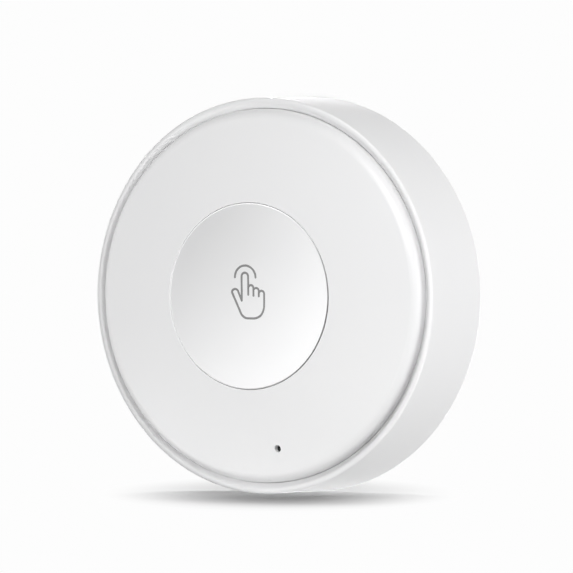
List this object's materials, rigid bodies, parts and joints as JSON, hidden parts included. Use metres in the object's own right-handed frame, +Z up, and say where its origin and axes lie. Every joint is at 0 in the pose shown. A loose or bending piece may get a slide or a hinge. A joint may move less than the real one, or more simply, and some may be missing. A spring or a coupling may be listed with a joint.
{
  "type": "scene switch",
  "caption": "Round wall-stuck wireless scene switch with a dished press button, a pinhole indicator and a case that twists off its rear cover.",
  "frame": {"origin": "centre of the adhesive pad's back face, which lies on the wall", "axes": "+Y into the wall, so the front faces -Y; +Z up; +X to the right as seen from the front"},
  "size_m": [0.05, 0.0159, 0.05],
  "materials": {
    "white_shell": "fine satin moulded ABS",
    "white_front": "fine satin moulded ABS",
    "white_button": "fine satin moulded ABS",
    "clear_pipe": "polished clear acrylic, smoked",
    "led_resin": "cast epoxy",
    "board_laminate": "green solder resist",
    "module_laminate": "blue solder resist",
    "switch_plastic": "moulded nylon",
    "switch_metal": "tinned sheet steel",
    "stem_plastic": "moulded nylon",
    "spring_steel": "rolled spring steel",
    "shield_metal": "drawn nickel silver",
    "copper_trace": "plated copper",
    "ceramic_tan": "sintered ceramic",
    "resistor_black": "glazed ceramic",
    "tantalum_yellow": "moulded epoxy",
    "tray_white": "moulded ABS",
    "cell_steel": "nickel-plated steel",
    "gasket_nylon": "moulded polypropylene",
    "screw_steel": "zinc-plated steel",
    "rear_white": "fine satin moulded ABS",
    "pad_foam": "closed-cell foam tape"
  },
  "bodies": {
    "wall_base": {"rear_cover": "rear_white", "adhesive_pad": "pad_foam"},
    "case": {"outer_shell": "white_shell", "front_cover": "white_front", "light_pipe": "clear_pipe", "indicator_led": "led_resin", "circuit_board": "board_laminate", "switch_base": "switch_plastic", "switch_frame": "switch_metal", "switch_snap_dome": "spring_steel", "switch_terminals": "switch_metal", "radio_board": "module_laminate", "radio_shield": "shield_metal", "radio_antenna": "copper_trace", "chip_capacitors": "ceramic_tan", "chip_resistors": "resistor_black", "bulk_capacitor": "tantalum_yellow", "battery_tray": "tray_white", "positive_clip": "spring_steel", "negative_spring": "spring_steel", "cell_can": "cell_steel", "cell_gasket": "gasket_nylon", "cell_cap": "cell_steel", "tray_screws": "screw_steel"},
    "button": {"button_cap": "white_button"},
    "plunger": {"switch_plunger": "stem_plastic"}
  },
  "joints": [
    {"name": "case_twist", "type": "hinge", "parent": "wall_base", "child": "case", "pos_m": [0, 0, 0], "axis": [0, -1, 0], "range_deg": [0, 18]},
    {"name": "button_press", "type": "slide", "parent": "case", "child": "button", "axis": [0, 1, 0], "range_m": [0, 0.00035], "stiffness_N_per_m": 2000, "springref_m": -0.0004},
    {"name": "plunger_press", "type": "slide", "parent": "case", "child": "plunger", "axis": [0, 1, 0], "range_m": [0, 0.00035]}
  ],
  "couplings": [
    {"joint": "plunger_press", "follows": "button_press", "ratio": 1}
  ]
}
